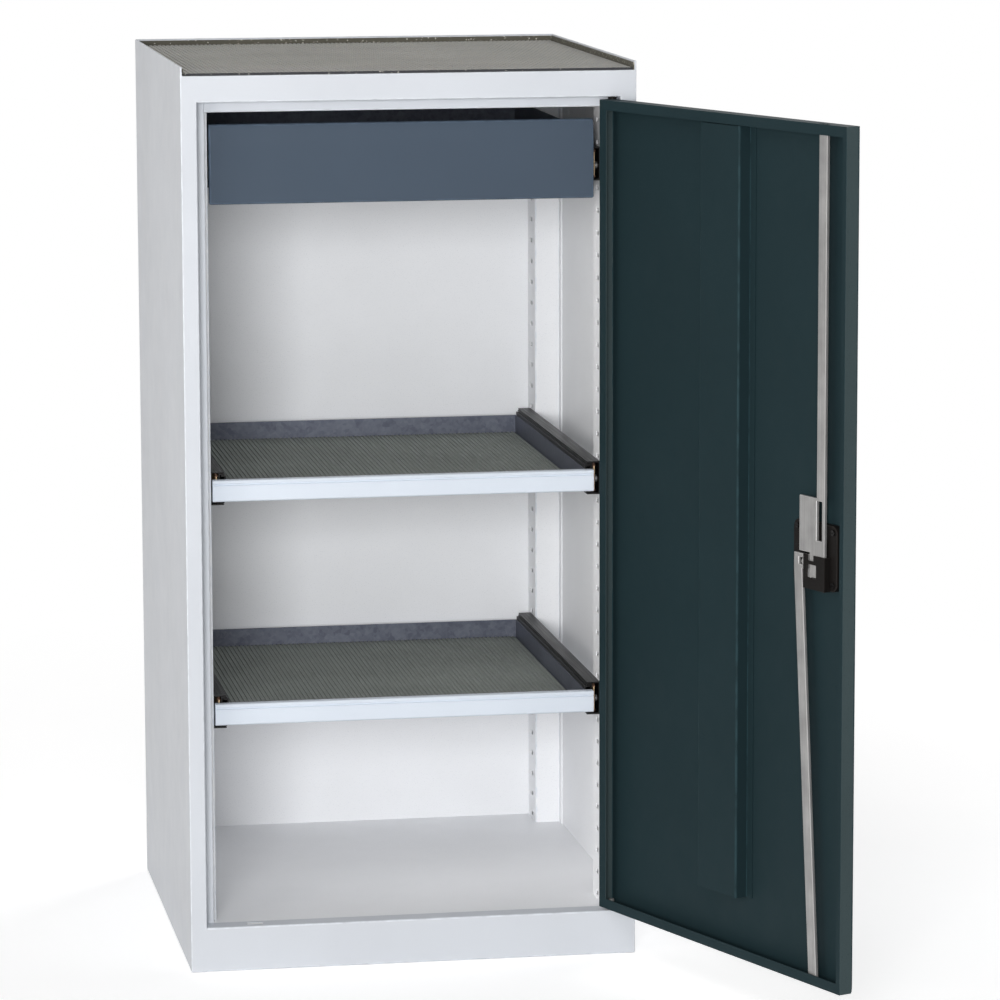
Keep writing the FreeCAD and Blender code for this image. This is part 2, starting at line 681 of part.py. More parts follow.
def rod_hole(x, z):
    """The hole in the door's edge that guides a lock rod."""
    half = dim.rod_width / 2 + dim.rod_play
    edge = dim.door_sheet * 3
    return box(x - half, x + half, rod_back - dim.rod_play, rod_face + dim.rod_play, z, z + edge)


def door_stiffener():
    """A hat section welded down the middle of the door."""
    half = dim.stiffener_half
    foot = half + dim.stiffener_foot
    wall = dim.door_sheet
    low = door_inside
    high = low + dim.stiffener_rise
    outline = [
        (-foot, low), (wall - half, low), (wall - half, high - wall), (half - wall, high - wall),
        (half - wall, low), (foot, low), (foot, low + wall), (half, low + wall),
        (half, high), (-half, high), (-half, low + wall), (-foot, low + wall),
    ]
    z0 = door_bottom + dim.stiffener_bottom_gap
    z1 = door_top - dim.stiffener_top_gap
    on_door("door_stiffener", padded("XY", outline, z0, z1 - z0))


def hinges():
    """Pins in the door's ends, the brackets that hold them and the bushes that they turn in."""
    radius = dim.pin_radius
    bore = radius + dim.pin_play
    barrel = bore + dim.bush_wall
    chamfer = dim.pin_chamfer
    plate = dim.door_sheet + dim.bracket_thick
    upper_tip = rail_bottom + dim.sheet + dim.pin_reach
    upper_end = door_top - plate - dim.pin_tail
    lower_tip = dim.floor_height - dim.sheet - dim.pin_reach
    lower_end = door_bottom + plate + dim.pin_tail
    upper_pin = [
        (ZERO, upper_end), (radius, upper_end), (radius, upper_tip - chamfer),
        (radius - chamfer, upper_tip), (ZERO, upper_tip),
    ]
    lower_pin = [
        (ZERO, lower_end), (radius, lower_end), (radius, lower_tip + chamfer),
        (radius - chamfer, lower_tip), (ZERO, lower_tip),
    ]
    on_door("upper_hinge_pin", turned(upper_pin, pivot_x, pivot_y))
    on_door("lower_hinge_pin", turned(lower_pin, pivot_x, pivot_y))
    collar_low = door_top + dim.bush_gap
    upper_bush = [
        (bore, collar_low), (dim.bush_collar, collar_low), (dim.bush_collar, rail_bottom),
        (barrel, rail_bottom), (barrel, upper_tip), (bore, upper_tip),
    ]
    collar_high = door_bottom - dim.bush_gap
    lower_bush = [
        (bore, collar_high), (dim.bush_collar, collar_high), (dim.bush_collar, dim.floor_height),
        (barrel, dim.floor_height), (barrel, lower_tip), (bore, lower_tip),
    ]
    keep("upper_hinge_bush", turned(upper_bush, pivot_x, pivot_y))
    keep("lower_hinge_bush", turned(lower_bush, pivot_x, pivot_y))
    x1 = door_side - dim.door_sheet
    x0 = x1 - dim.bracket_length
    y1 = front + dim.door_depth - dim.door_sheet
    for name, z in (("upper", door_top - plate), ("lower", door_bottom + dim.door_sheet)):
        block = box(x0, x1, door_inside, y1, z, z + dim.bracket_thick)
        hole = rod("Z", radius, dim.bracket_thick, pivot_x, pivot_y, z)
        on_door(f"{name}_pin_bracket", cut(block, [hole]))


def lock_case():
    """The case on the inside of the door, with a screw in each corner."""
    x0 = lock_x - dim.case_free
    x1 = lock_x + dim.case_hinge
    z0 = lock_z - dim.case_below
    z1 = lock_z + dim.case_above
    body = padded("XZ", rectangle(x0, x1, z0, z1), door_inside, dim.case_depth)
    doc.recompute()
    block = body.Tip
    corners = [
        f"Edge{number}" for number, edge in enumerate(block.Shape.Edges, start=1)
        if abs(edge.tangentAt(edge.FirstParameter).y) > 0.99
    ]
    rounding = body.newObject("PartDesign::Fillet", "corners")
    rounding.Base = (block, corners)
    bind(rounding, Radius=dim.case_corner)
    hole = spindle_hole(door_inside - dim.door_sheet, dim.case_depth + dim.door_sheet * 2)
    on_door("lock_case", cut(body, [hole]))
    inset = dim.case_screw_inset
    heads = []
    for x in (x0 + inset, x1 - inset):
        for z in (z0 + inset, z1 - inset):
            head = rod("Y", dim.case_screw_radius, dim.case_screw_head, x, case_face, z)
            recess = box(x - dim.case_screw_radius, x + dim.case_screw_radius,
                         case_face + dim.case_screw_head / 2, case_face + dim.case_screw_head * 2,
                         z - dim.case_screw_slot / 2, z + dim.case_screw_slot / 2)
            heads.append(cut(head, [recess]))
    on_door("lock_case_screws", group(heads))


def lock_cover():
    """The cover in front of the rods' ends, on a wall along its side at the free edge."""
    cover_back = rod_face + dim.lock_gap
    cover_face = cover_back + dim.cover_sheet
    x0 = lock_x - dim.cover_free
    x1 = lock_x + dim.cover_hinge
    z0 = lock_z - dim.case_below
    z1 = lock_z + dim.cover_above
    wall = box(x0, x0 + dim.cover_sheet, case_face, cover_face, z0, z1)
    sheet = box(x0, x1, cover_back, cover_face, z0, z1)
    y0 = cover_back - dim.lock_gap
    y1 = cover_face + dim.lock_gap
    notch_x = lock_x - dim.cover_notch_free
    notch = box(notch_x, notch_x + dim.cover_notch_width, y0, y1, z1 - dim.cover_notch_depth, z1 + dim.cover_sheet)
    window_x = lock_x - dim.cover_window_free
    window_top = lock_z + dim.cover_window_above
    window_bottom = window_top - dim.cover_window_height
    window = box(window_x, window_x + dim.cover_window_width, y0, y1, window_bottom, window_top)
    on_door("lock_cover", cut(fuse([wall, sheet]), [notch, window]))


def spindle_hole(y, length):
    return rod("Y", dim.spindle_radius + dim.pin_play, length, lock_x, y, lock_z)


def cam_pin_offset():
    """How far a cam pin lies from the spindle, sideways and up, when unlocked."""
    angle = dim.cam_angle.text
    throw = dim.cam_throw
    radians = math.radians(dim.cam_angle.value)
    level = Size(throw.value * math.cos(radians), f"({throw.text} * cos({angle}))")
    rise = Size(throw.value * math.sin(radians), f"({throw.text} * sin({angle}))")
    return level, rise


def lock_turning_parts():
    """Spindle, cam, handle and cylinder."""
    level, rise = cam_pin_offset()
    disc = rod("Y", dim.cam_radius, dim.cam_thick, lock_x, cam_back, lock_z)
    length = dim.lock_gap + dim.rod_thick
    pins = []
    for x, z in ((lock_x - level, lock_z - rise), (lock_x + level, lock_z + rise)):
        pins.append(rod("Y", dim.cam_pin_radius, length, x, cam_face, z))
    bore = rod("Y", dim.spindle_radius, dim.cam_thick, lock_x, cam_back, lock_z)
    on_door("lock_cam", cut(fuse([disc] + pins), [bore]))

    rosette_back = front - dim.rosette_thick
    rosette = rod("Y", dim.rosette_radius, dim.rosette_thick, lock_x, rosette_back, lock_z)
    hole = spindle_hole(rosette_back - dim.rosette_thick, dim.rosette_thick * 3)
    on_door("handle_rosette", cut(rosette, [hole]))

    hub_base = rosette_back - dim.lock_gap
    hub_top = hub_base - dim.hub_depth
    cylinder_floor = hub_top + dim.cylinder_depth
    spindle_length = cam_face - cylinder_floor
    spindle = rod("Y", dim.spindle_radius, spindle_length, lock_x, cylinder_floor, lock_z)
    on_door("lock_spindle", group([spindle]))

    lever = lever_blank(hub_top)
    hub = rod("Y", dim.hub_radius, dim.hub_depth, lock_x, hub_top, lock_z)
    cylinder_bore = rod("Y", dim.cylinder_radius + dim.pin_play, dim.cylinder_depth, lock_x, hub_top, lock_z)
    spindle_bore = rod("Y", dim.spindle_radius, dim.hub_depth, lock_x, hub_top, lock_z)
    on_door("lever_handle", cut(fuse([hub, lever]), [cylinder_bore, spindle_bore]))

    plug_start = hub_top - dim.cylinder_proud
    plug_length = dim.cylinder_depth + dim.cylinder_proud - dim.lock_gap
    plug = rod("Y", dim.cylinder_radius, plug_length, lock_x, plug_start, lock_z)
    half_width = dim.key_slot_width / 2
    half_length = dim.key_slot_length / 2
    slot = box(lock_x - half_length, lock_x + half_length, plug_start - dim.key_slot_depth,
               plug_start + dim.key_slot_depth, lock_z - half_width, lock_z + half_width)
    on_door("lock_cylinder", cut(plug, [slot]))


def lever_blank(hub_top):
    """The lever's blade: two round ends joined by straight tangent sides, with rounded edges."""
    big = dim.hub_radius.value
    small = dim.lever_tip.value
    reach = dim.lever_length.value
    angle = math.acos((big - small) / reach)
    top = hub_top.value
    x = lock_x.value
    z = lock_z.value

    def rim(centre_x, radius, turn):
        return FreeCAD.Vector(centre_x + radius * math.cos(turn), top, z + radius * math.sin(turn))

    tip_x = x + reach
    upper = Part.LineSegment(rim(x, big, angle), rim(tip_x, small, angle))
    lower = Part.LineSegment(rim(tip_x, small, -angle), rim(x, big, -angle))
    tip = Part.Arc(rim(tip_x, small, angle), rim(tip_x, small, 0), rim(tip_x, small, -angle))
    heel = Part.Arc(rim(x, big, -angle), rim(x, big, math.pi), rim(x, big, angle))
    wire = Part.Wire([upper.toShape(), tip.toShape(), lower.toShape(), heel.toShape()])
    solid = Part.Face(wire).extrude(FreeCAD.Vector(0, dim.lever_thick.value, 0))
    rim_edges = [edge for edge in solid.Edges if abs(edge.BoundBox.YMax - edge.BoundBox.YMin) < 1e-6]
    outer_edges = [edge for edge in rim_edges if abs(edge.BoundBox.YMin - top) < 1e-6]
    blade = doc.addObject("Part::Feature", "blade")
    blade.Shape = solid.makeFillet(dim.lever_round.value, outer_edges)
    return blade


def upper_lock_rod():
    """The upper rod with its wide plate and the slot that the cam's lower pin rides in."""
    level, rise = cam_pin_offset()
    free = upper_rod_x - dim.rod_width / 2
    hinge = free + dim.rod_width
    slot_x = lock_x - level - dim.yoke_shift
    pin_z = lock_z - rise
    half = dim.yoke_length / 2
    tongue = slot_x + half + dim.tongue_wall
    foot = pin_z - dim.cam_pin_radius - dim.yoke_wall
    plate_low = lock_z + dim.plate_bottom
    plate_high = plate_low + dim.plate_height
    plate_side = free + dim.plate_width
    end = door_top - dim.rod_end_gap
    outline = [
        (free, foot), (tongue, foot), (tongue, plate_low), (plate_side, plate_low),
        (plate_side, plate_high), (hinge, plate_high), (hinge, end), (free, end),
    ]
    body = padded("XZ", outline, rod_back, dim.rod_thick)
    rise_half = dim.cam_pin_radius + dim.cam_pin_play
    yoke = rectangle(slot_x - half, slot_x + half, pin_z - rise_half, pin_z + rise_half)
    pocket(body, "XZ", yoke, rod_back - dim.lock_gap, dim.rod_thick + dim.lock_gap * 2)
    groove_x = free + dim.groove_side
    groove_low = plate_low + dim.groove_foot
    groove_high = plate_high - dim.groove_head
    groove = rectangle(groove_x, groove_x + dim.groove_width, groove_low, groove_high)
    pocket(body, "XZ", groove, rod_back - dim.lock_gap, dim.rod_thick + dim.lock_gap * 2)
    on_door("upper_lock_rod", body)


def lower_lock_rod():
    """The lower rod, which leans, with the slot that the cam's upper pin rides in."""
    level, rise = cam_pin_offset()
    pin_x = lock_x + level
    pin_z = lock_z + rise
    half_rod = dim.rod_width / 2
    rise_half = dim.cam_pin_radius + dim.cam_pin_play
    low = pin_z - rise_half - dim.yoke_wall
    high = pin_z + rise_half + dim.yoke_wall
    free = lock_x + dim.lower_plate_free
    hinge = free + dim.lower_plate_width
    end = door_bottom + dim.rod_end_gap
    top_x = hinge - half_rod
    end_x = lower_rod_x(end)
    outline = [
        (free, low), (top_x - half_rod, low), (end_x - half_rod, end), (end_x + half_rod, end),
        (hinge, low), (hinge, high), (free, high),
    ]
    body = padded("XZ", outline, rod_back, dim.rod_thick)
    half = dim.yoke_length / 2
    slot_x = pin_x + dim.yoke_shift
    yoke = rectangle(slot_x - half, slot_x + half, pin_z - rise_half, pin_z + rise_half)
    pocket(body, "XZ", yoke, rod_back - dim.lock_gap, dim.rod_thick + dim.lock_gap * 2)
    on_door("lower_lock_rod", body)


def lower_rod_x(z):
    """Middle of the leaning lower rod at a height."""
    top = lock_z
    top_x = lock_x + dim.lower_plate_free + dim.lower_plate_width - dim.rod_width / 2
    return top_x - dim.lower_lean * (top - z) / (top - door_bottom)


side_panel("left_side_panel", -1)
side_panel("right_side_panel", 1)
back_panel()
top_panel()
mat_half = inner_side - dim.sheet - dim.top_mat_gap
ribbed_mat("top_mat", mat_half, front + dim.sheet + dim.top_mat_gap, inner_back - dim.sheet - dim.top_mat_gap, deck)
floor_panel()
for hand, name in ((-1, "left"), (1, "right")):
    front_post(f"front_{name}_post", hand)
    rear_post(f"rear_{name}_post", hand)

drawer_z = slot_z(last_slot - dim.drawer_slot_count)
upper_tray_z = slot_z(dim.upper_tray_slot_count)
lower_tray_z = slot_z(dim.lower_tray_slot_count)
drawer(drawer_z)
slides("drawer", drawer_z)
tray("upper_tray", upper_tray_z)
slides("upper_tray", upper_tray_z)
tray("lower_tray", lower_tray_z)
slides("lower_tray", lower_tray_z)
slide_fasteners((drawer_z, upper_tray_z, lower_tray_z))

door_panel()
door_stiffener()
hinges()
lock_case()
lock_cover()
lock_turning_parts()
upper_lock_rod()
lower_lock_rod()

doc.recompute()

failed = [thing.Name for thing in doc.Objects if "Invalid" in thing.State or "Error" in thing.State]
if failed:
    raise RuntimeError(f"these objects failed: {failed}")
for part in parts:
    if part.Shape.isNull() or not part.Shape.isValid() or not part.Shape.Solids:
        raise RuntimeError(f"{part.Label} has no valid solid")

os.makedirs("parts", exist_ok=True)
for part in parts:
    part.Shape.exportStep(os.path.join("parts", f"{part.Label}.step"))
    bounds = part.Shape.BoundBox
    print(f"{part.Label}: {len(part.Shape.Solids)} solids, {part.Shape.Volume:.0f} mm3, "
          f"x {bounds.XMin:.1f} to {bounds.XMax:.1f}, y {bounds.YMin:.1f} to {bounds.YMax:.1f}, "
          f"z {bounds.ZMin:.1f} to {bounds.ZMax:.1f}")
print(len(parts), "pieces")
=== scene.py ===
"""Looks of the tool cabinet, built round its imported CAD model."""

import json
import math

import bmesh
import bpy
from mathutils import Matrix, Vector


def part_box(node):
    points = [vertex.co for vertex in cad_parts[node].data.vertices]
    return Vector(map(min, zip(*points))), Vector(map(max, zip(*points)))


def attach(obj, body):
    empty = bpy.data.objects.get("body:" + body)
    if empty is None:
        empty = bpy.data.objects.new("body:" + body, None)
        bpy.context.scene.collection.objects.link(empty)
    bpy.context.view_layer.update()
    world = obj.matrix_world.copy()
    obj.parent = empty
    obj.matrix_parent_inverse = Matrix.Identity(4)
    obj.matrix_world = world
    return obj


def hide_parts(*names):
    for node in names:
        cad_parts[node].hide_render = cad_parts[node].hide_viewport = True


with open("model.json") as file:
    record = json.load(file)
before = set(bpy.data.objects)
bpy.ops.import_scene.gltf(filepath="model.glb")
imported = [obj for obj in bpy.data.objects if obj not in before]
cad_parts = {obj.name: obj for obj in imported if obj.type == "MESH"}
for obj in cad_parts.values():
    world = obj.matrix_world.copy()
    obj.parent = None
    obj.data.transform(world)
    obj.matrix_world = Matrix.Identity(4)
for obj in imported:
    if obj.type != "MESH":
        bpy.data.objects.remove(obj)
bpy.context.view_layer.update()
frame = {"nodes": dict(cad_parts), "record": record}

NODES = frame["nodes"]
BODIES = frame["record"]["behaviour"]["bodies"]
BODY_OF = {node: body for body, members in BODIES.items() for node in members}

# Camera: focal length in pixels of a 1000 pixel wide picture, place in metres, angles in radians.
PICTURE_WIDTH = 1000
FOCAL_PIXELS = 4765.69
SENSOR_WIDTH = 36
CAMERA_PLACE = Vector((-0.7839, -5.35805, 1.34021))
CAMERA_YAW = -0.17086
CAMERA_PITCH = 0.15707
CAMERA_ROLL = -0.00272

# Colours of the surfaces as screen values, 0 to 255. The inside of the carcass and the door's free edge
# are painted lighter than the rest of their paint: painted light, which makes up for how brightly they are
# lit.
PALE_PAINT = (207, 211, 217)
INSIDE_PAINTED_LIGHT = (242, 243, 245)
DOOR_PAINT = (30, 46, 50)
DOOR_EDGE_PAINTED_LIGHT = (64, 77, 79)
DRAWER_PAINT = (67, 79, 93)
TRAY_PAINT = (215, 223, 233)
ZINC_DARK = (84, 88, 101)
ZINC_LIGHT = (106, 110, 121)
MAT_GREY = (132, 137, 133)
TOP_MAT_GREY = (198, 198, 195)
SLIDE_BLACK = (24, 23, 23)
BRIGHT_ZINC = (168, 167, 166)
CASE_BLACK = (20, 18, 17)
HANDLE_BLACK = (20, 20, 22)
BRASS = (190, 155, 96)
CAGE_TAN = (168, 140, 110)
BALL_BROWN = (78, 56, 42)
# The next two greys are painted shade: the trim's grey stands in for the shade on the rim's inner faces,
# and the bead's grey for the shadow in the gap at the mat's front edge.
TRIM_PAINTED_SHADE_GREY = (92, 90, 80)
BEAD_PAINTED_SHADOW_GREY = (56, 57, 60)
MAT_SPECK = (146, 149, 143)
TOP_MAT_SPECK = (206, 202, 192)

# Fold radii of the sheet parts in metres: outside of a fold, inside of it, and at the door's free edge.
OUTER_FOLD = 0.0020
INNER_FOLD = 0.0008
DOOR_EDGE_FOLD = 0.0035

# An edge is a fold above this angle and between faces that are wider than so many thicknesses of the sheet
FOLD_ANGLE = math.radians(12)
WIDE_FACE = 1.7

# An outer edge is rounded above the first angle, and stays a crease in the shading above the second
SHARP_ANGLE = math.radians(30)
CREASE_ANGLE = math.radians(35)

# Faces that meet at less than this angle are joined to one flat face
FLAT_ANGLE = math.radians(0.5)

# Distances in metres: corners that are merged, edges that lie on one line, corners of one fold
MERGE_DISTANCE = 0.00001
IN_LINE = 0.0003
SAME_FOLD = 0.0005

# Largest area of the small triangles at a fold's end, in square metres
FOLD_END_AREA = 3e-6

# How strongly the larger faces win in the weighted normals, from 1 to 100, where 50 is neutral
NORMAL_WEIGHT = 98

# How much the floor glows to the camera and in reflections, which keeps it nearly white with a soft shadow
FLOOR_GLOW = 0.5

# Sheet thicknesses in metres
CARCASS_SHEET = 0.0012
POST_SHEET = 0.0015
PAN_SHEET = 0.0010

# Height of the top rail's face, and width of a stile's face, in metres
RAIL_FACE = 0.029
STILE_FACE = 0.018

# Depth of the front frame, to the back of the shelf that the door shuts on
FRAME_DEPTH = 0.0226


def linear(colour, gain=1.0):
    """A screen colour as linear RGBA."""
    channels = []
    for value in colour:
        share = min(1.0, value / 255 * gain)
        low = share / 12.92
        high = ((share + 0.055) / 1.055) ** 2.4
        channels.append(low if share <= 0.04045 else high)
    return (*channels, 1.0)


class Shader:
    """A material's node tree with short calls for the nodes used here."""

    def __init__(self, name):
        self.material = bpy.data.materials.new(name)
        self.material.use_nodes = True
        self.tree = self.material.node_tree
        self.tree.nodes.clear()
        self.output = self.add("ShaderNodeOutputMaterial")
        self.surface = self.add("ShaderNodeBsdfPrincipled")
        self.join(self.surface.outputs["BSDF"], self.output.inputs["Surface"])
        self.place = self.add("ShaderNodeTexCoord").outputs["Object"]

    def add(self, kind):
        return self.tree.nodes.new(kind)

    def join(self, start, end):
        self.tree.links.new(start, end)

    def set(self, **values):
        """Constants on the surface's own sockets, by their names in small letters."""
        for name, value in values.items():
            socket = name.replace("_", " ").title().replace("Ior", "IOR")
            self.surface.inputs[socket].default_value = value

    def stretched(self, scale):
        """Object coordinates stretched by a scale per axis."""
        mapping = self.add("ShaderNodeMapping")
        mapping.inputs["Scale"].default_value = scale
        self.join(self.place, mapping.inputs["Vector"])
        return mapping.outputs["Vector"]

    def noise(self, scale, detail=2.0, roughness=0.5, vector=None):
        node = self.add("ShaderNodeTexNoise")
        node.inputs["Scale"].default_value = scale
        node.inputs["Detail"].default_value = detail
        node.inputs["Roughness"].default_value = roughness
        self.join(vector or self.place, node.inputs["Vector"])
        return node.outputs["Fac"]

    def cells(self, scale):
        """A random value per Voronoi cell."""
        node = self.add("ShaderNodeTexVoronoi")
        node.inputs["Scale"].default_value = scale
        node.inputs["Randomness"].default_value = 1.0
        self.join(self.place, node.inputs["Vector"])
        split = self.add("ShaderNodeSeparateColor")
        self.join(node.outputs["Color"], split.inputs["Color"])
        return split.outputs["Red"]

    def attribute(self, name):
        node = self.add("ShaderNodeAttribute")
        node.attribute_name = name
        return node.outputs["Fac"]

    def between(self, value, low, high, new_low=0.0, new_high=1.0):
        """A value mapped from one range to another, held inside it."""
        node = self.add("ShaderNodeMapRange")
        node.inputs["From Min"].default_value = low
        node.inputs["From Max"].default_value = high
        node.inputs["To Min"].default_value = new_low
        node.inputs["To Max"].default_value = new_high
        self.join(value, node.inputs["Value"])
        return node.outputs["Result"]

    def maths(self, operation, first, second):
        node = self.add("ShaderNodeMath")
        node.operation = operation
        for socket, value in zip(node.inputs, (first, second)):
            if isinstance(value, (int, float)):
                socket.default_value = value
            else:
                self.join(value, socket)
        return node.outputs[0]

    def blend(self, factor, first, second):
        """A mix of two colours, each a tuple or a socket."""
        node = self.add("ShaderNodeMix")
        node.data_type = "RGBA"
        self.join(factor, node.inputs["Factor"])
        for socket, value in ((node.inputs[6], first), (node.inputs[7], second)):
            if isinstance(value, tuple):
                socket.default_value = value
            else:
                self.join(value, socket)
        return node.outputs[2]

    def bump(self, height, distance):
        node = self.add("ShaderNodeBump")
        node.inputs["Strength"].default_value = 1.0
        node.inputs["Distance"].default_value = distance
        self.join(height, node.inputs["Height"])
        return node.outputs["Normal"]

    def finish(self, colour, roughness, normal):
        self.join(colour, self.surface.inputs["Base Color"])
        self.join(roughness, self.surface.inputs["Roughness"])
        self.join(normal, self.surface.inputs["Normal"])
        return self.material


def paint(
    name, colour, roughness, variation=0.015, edge_gain=1.08, specular=0.3, second=None, where=None
):
    """Powder coat: slow and fine variation of tone, orange peel, and lighter rubbed edges.

    A second colour shows where a function of the shader gives 1. Here it is always painted light: a lighter
    tone where a surface should look more brightly lit.
    """
    shader = Shader(name)
    slow = shader.between(shader.noise(5.0, 3.0), 0.3, 0.7)
    tone = shader.blend(slow, linear(colour, 1 - variation), linear(colour, 1 + variation))
    if second:
        other = shader.blend(slow, linear(second, 1 - variation), linear(second, 1 + variation))
        tone = shader.blend(where(shader), tone, other)
    speck = shader.between(shader.noise(900.0, 1.0), 0.62, 0.72, 0.0, 0.35)
    tone = shader.blend(speck, tone, linear(colour, 1 - 3 * variation))
    patches = shader.between(shader.noise(60.0, 4.0), 0.35, 0.6)
    rubbed = shader.maths("MULTIPLY", shader.attribute("edge_wear"), patches)
    tone = shader.blend(rubbed, tone, linear(colour, edge_gain))
    shine = shader.between(shader.noise(35.0, 3.0), 0.3, 0.7, roughness - 0.05, roughness + 0.05)
    shader.set(specular_ior_level=specular)
    return shader.finish(tone, shine, shader.bump(shader.noise(1100.0, 2.0), 0.00003))


def inside_carcass(shader):
    """1 on the surfaces inside the carcass and 0 on its outer skin and its front frame. Where it is 1 the
    pale paint is painted lighter, as painted light.
    """
    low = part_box("left_side_panel")[0]
    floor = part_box("floor_panel")[1][2]
    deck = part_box("top_mat")[0][2]
    split = shader.add("ShaderNodeSeparateXYZ")
    shader.join(shader.place, split.inputs["Vector"])
    across = shader.maths("ABSOLUTE", split.outputs["X"], 0.0)
    half_sheet = CARCASS_SHEET / 2
    inside = shader.maths("LESS_THAN", across, -low[0] - half_sheet)
    for test, axis, limit in (
        ("GREATER_THAN", "Y", low[1] + FRAME_DEPTH),
        ("LESS_THAN", "Y", -low[1] - half_sheet),
        ("GREATER_THAN", "Z", floor - half_sheet),
        ("LESS_THAN", "Z", deck - half_sheet),
    ):
        inside = shader.maths("MULTIPLY", inside, shader.maths(test, split.outputs[axis], limit))
    return inside


def door_free_edge(shader):
    """1 on the faces of the door's free edge, which mark_free_edge marks. There the dark paint is painted
    lighter, as painted light on that face.
    """
    return shader.attribute("edge_face")


def galvanised():
    """Zinc spangle: flat crystals of differing tone with fine scratches."""
    shader = Shader("galvanised_steel")
    spangle = shader.maths("ADD", shader.cells(110.0), shader.cells(260.0))
    tone = shader.blend(shader.between(spangle, 0.2, 1.8), linear(ZINC_DARK), linear(ZINC_LIGHT))
    scratch = shader.noise(1.0, 3.0, vector=shader.stretched((900.0, 40.0, 900.0)))
    shine = shader.between(spangle, 0.0, 2.0, 0.38, 0.56)
    shader.set(metallic=0.55, specular_ior_level=0.5)
    return shader.finish(tone, shine, shader.bump(scratch, 0.00002))


def rubber(name, colour, speck_colour, speck_share, roughness=0.82):
    """Matt ribbed rubber with pale specks and a fine grain."""
    shader = Shader(name)
    slow = shader.between(shader.noise(9.0, 3.0), 0.3, 0.7)
    tone = shader.blend(slow, linear(colour, 0.96), linear(colour, 1.04))
    speck = shader.between(shader.cells(700.0), 1 - speck_share, 1 - speck_share + 0.04)
    tone = shader.blend(speck, tone, linear(speck_colour))
    shine = shader.between(shader.noise(120.0, 2.0), 0.3, 0.7, roughness - 0.06, roughness + 0.06)
    shader.set(specular_ior_level=0.3)
    return shader.finish(tone, shine, shader.bump(shader.noise(1500.0, 3.0), 0.00006))


def metal(name, colour, roughness, drawn, metallic=1.0, spread=0.12):
    """Drawn or rolled metal: streaks along the direction in which the scale is small."""
    shader = Shader(name)
    streak = shader.noise(1.0, 4.0, vector=shader.stretched(drawn))
    cloud = shader.between(shader.noise(28.0, 4.0), 0.3, 0.7)
    tone = shader.blend(cloud, linear(colour, 1 - spread), linear(colour, 1 + spread / 2))
    tone = shader.blend(shader.between(streak, 0.45, 0.75, 0.0, 0.5), tone, linear(colour, 1 - 2 * spread))
    tone = shader.blend(shader.attribute("edge_wear"), tone, linear(colour, 1 + spread))
    shine = shader.between(streak, 0.3, 0.7, roughness - 0.07, roughness + 0.09)
    shader.set(metallic=metallic)
    return shader.finish(tone, shine, shader.bump(streak, 0.00002))


def moulded(name, colour, roughness, grain=0.00005, specular=0.4):
    """Moulded or cast surface with a fine leathery grain."""
    shader = Shader(name)
    cloud = shader.between(shader.noise(40.0, 3.0), 0.3, 0.7)
    tone = shader.blend(cloud, linear(colour, 0.9), linear(colour, 1.12))
    tone = shader.blend(shader.attribute("edge_wear"), tone, linear(colour, 1.6))
    shine = shader.between(shader.noise(300.0, 2.0), 0.3, 0.7, roughness - 0.06, roughness + 0.06)
    shader.set(specular_ior_level=specular)
    return shader.finish(tone, shine, shader.bump(shader.noise(1800.0, 2.0), grain))


ALONG_Y = (900.0, 12.0, 900.0)
ALONG_Z = (900.0, 900.0, 12.0)

MATERIALS = {
    # Painted light: the inside of the carcass gets a lighter second colour that stands in for brighter
    # light there.
    "carcass_paint": paint(
        "pale_powder_coat_and_painted_light", PALE_PAINT, 0.42, second=INSIDE_PAINTED_LIGHT, where=inside_carcass
    ),
    # Painted light: the door's free edge gets a lighter second colour that stands in for the light falling
    # on it.
    "door_paint": paint(
        "dark_powder_coat_and_painted_light", DOOR_PAINT, 0.55, 0.03, 1.3, 0.08,
        second=DOOR_EDGE_PAINTED_LIGHT, where=door_free_edge,
    ),
    "drawer_paint": paint("slate_powder_coat", DRAWER_PAINT, 0.5, 0.02, 1.2, 0.15),
    "tray_paint": paint("tray_powder_coat", TRAY_PAINT, 0.38),
    "galvanised": galvanised(),
    "mat_rubber": rubber("mat_rubber", MAT_GREY, MAT_SPECK, 0.1),
    "top_rubber": rubber("top_rubber", TOP_MAT_GREY, TOP_MAT_SPECK, 0.25),
    "slide_steel": metal("slide_steel", SLIDE_BLACK, 0.42, ALONG_Y, metallic=0.6),
    "bright_zinc": metal("bright_zinc", BRIGHT_ZINC, 0.45, ALONG_Z, metallic=0.55),
    "black_case": moulded("case_black", CASE_BLACK, 0.55, specular=0.12),
    "handle_black": moulded("handle_black", HANDLE_BLACK, 0.3, grain=0.00002),
    "brass": metal("brass", BRASS, 0.28, ALONG_Y),
}


def slot_of(node):
    """The record's material slot of a CAD node."""
    return NODES[node].data.materials[0].name.split(".")[0]


SLOT_OF = {node: slot_of(node) for node in NODES}
for node, part in NODES.items():
    for index in range(len(part.data.materials)):
        part.data.materials[index] = MATERIALS[SLOT_OF[node]]


def face_width(face):
    """About the width of a long face."""
    perimeter = sum(edge.calc_length() for edge in face.edges)
    return 2 * face.calc_area() / perimeter


def fold_edges(mesh, sheet, convex):
    """Edges where two wide faces meet, outside or inside a fold."""
    chosen = []
    for edge in mesh.edges:
        if len(edge.link_faces) != 2 or edge.calc_face_angle(0) < FOLD_ANGLE:
            continue
        if edge.is_convex != convex:
            continue
        if all(face_width(face) > WIDE_FACE * sheet for face in edge.link_faces):
            chosen.append(edge)
    return chosen


def outline_edges(mesh):
    """All sharp outer edges of a solid piece."""
    return [
        edge for edge in mesh.edges
        if len(edge.link_faces) == 2 and edge.is_convex and edge.calc_face_angle(0) > SHARP_ANGLE
    ]


